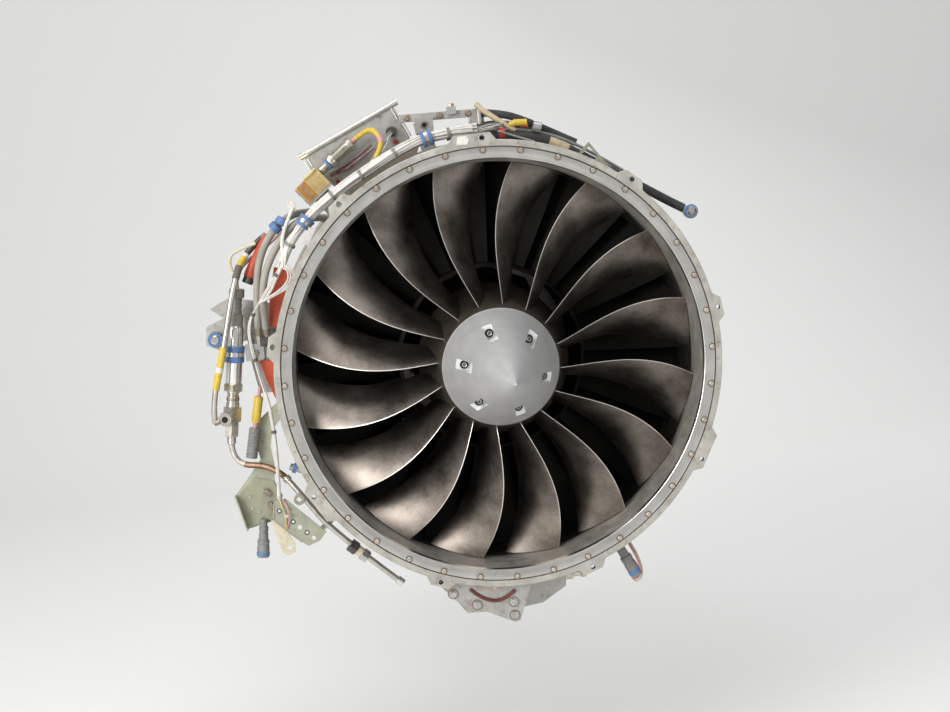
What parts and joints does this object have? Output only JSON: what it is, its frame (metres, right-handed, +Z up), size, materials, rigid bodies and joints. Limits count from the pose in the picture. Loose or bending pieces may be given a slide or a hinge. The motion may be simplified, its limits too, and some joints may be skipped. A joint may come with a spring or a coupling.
{
  "type": "turbofan engine",
  "caption": "Small two-spool turbofan engine without its cowls: fan, fan case, bypass duct, core, nozzle, and the sensors, tubes, wiring and brackets round the fan case.",
  "frame": {"origin": "centre of the fan case's front flange face, on the engine axis", "axes": "+X right as seen from the front, +Y aft along the engine axis, +Z up"},
  "size_m": [0.686, 1.1978, 0.7137],
  "materials": {
    "fan_titanium": "mottled brown-grey, satin",
    "spinner_metal": "satin",
    "lip_metal": "brushed",
    "case_metal": "cast, satin",
    "vane_metal": "satin",
    "hot_metal": "heat-tinted",
    "shaft_steel": "ground",
    "fastener_steel": "plain",
    "polished_steel": "polished",
    "blue_rubber": "matt",
    "bright_strap": "bright",
    "bracket_olive": "semi-matt",
    "cast_grey": "satin",
    "sleeve_pale": "matt",
    "hose_grey": "matt",
    "hose_black": "braided",
    "wire_white": "matt",
    "clip_rubber": "matt",
    "box_gold": "satin",
    "plug_grey": "matt",
    "seal_orange": "matt",
    "lug_cream": "matt"
  },
  "bodies": {
    "engine": {"accessory_gearbox": "cast_grey", "black_hose": "hose_black", "box_bracket": "bracket_olive", "bypass_duct": "case_metal", "cable_lug": "lug_cream", "cast_bracket": "cast_grey", "clamp_bracket": "bracket_olive", "connector_bracket": "bracket_olive", "core_bearings": "shaft_steel", "core_case": "hot_metal", "cover_bolts": "fastener_steel", "diffuser": "hot_metal", "drain_tube": "bright_strap", "exhaust_cone": "hot_metal", "exhaust_nozzle": "hot_metal", "fan_bearings": "shaft_steel", "fan_case": "case_metal", "fuel_pump": "cast_grey", "gearbox_cover": "cast_grey", "guide_vanes": "vane_metal", "harness_clips": "clip_rubber", "harness_connector": "polished_steel", "hose_clamp": "clip_rubber", "inlet_lip_ring": "lip_metal", "inner_hose": "hose_grey", "intermediate_frame": "case_metal", "loose_plugs": "plug_grey", "lower_bracket": "bracket_olive", "oil_fitting": "polished_steel", "outer_hose": "hose_grey", "pressure_sensor": "polished_steel", "rear_frame": "hot_metal", "rear_mount_lug": "case_metal", "round_plug": "plug_grey", "seal_strips": "seal_orange", "sensor_cushion": "blue_rubber", "sensor_fitting": "polished_steel", "sensor_plug": "polished_steel", "sensor_strap": "bright_strap", "sensor_wires": "wire_white", "side_bracket": "bracket_olive", "side_plate": "bracket_olive", "sleeved_lead": "sleeve_pale", "sleeved_plug": "plug_grey", "starter_generator": "cast_grey", "steel_tube": "bright_strap", "terminal_box": "box_gold", "top_bracket": "bracket_olive", "tube_coupling": "polished_steel", "tube_sleeve": "sleeve_pale", "wire_harness": "hose_black"},
    "fan_spool": {"spinner": "spinner_metal", "spinner_screws": "fastener_steel", "fan_nut": "shaft_steel", "fan_rotor": "fan_titanium", "fan_shaft": "shaft_steel", "fan_turbine": "hot_metal"},
    "core_spool": {"core_shaft": "shaft_steel", "impeller": "shaft_steel", "core_turbine": "hot_metal"}
  },
  "joints": [
    {"name": "fan_spin", "type": "hinge", "parent": "engine", "child": "fan_spool", "pos_m": [0, 0.04, 0], "axis": [0, 1, 0], "continuous": true},
    {"name": "core_spin", "type": "hinge", "parent": "engine", "child": "core_spool", "pos_m": [0, 0.32, 0], "axis": [0, 1, 0], "continuous": true}
  ]
}
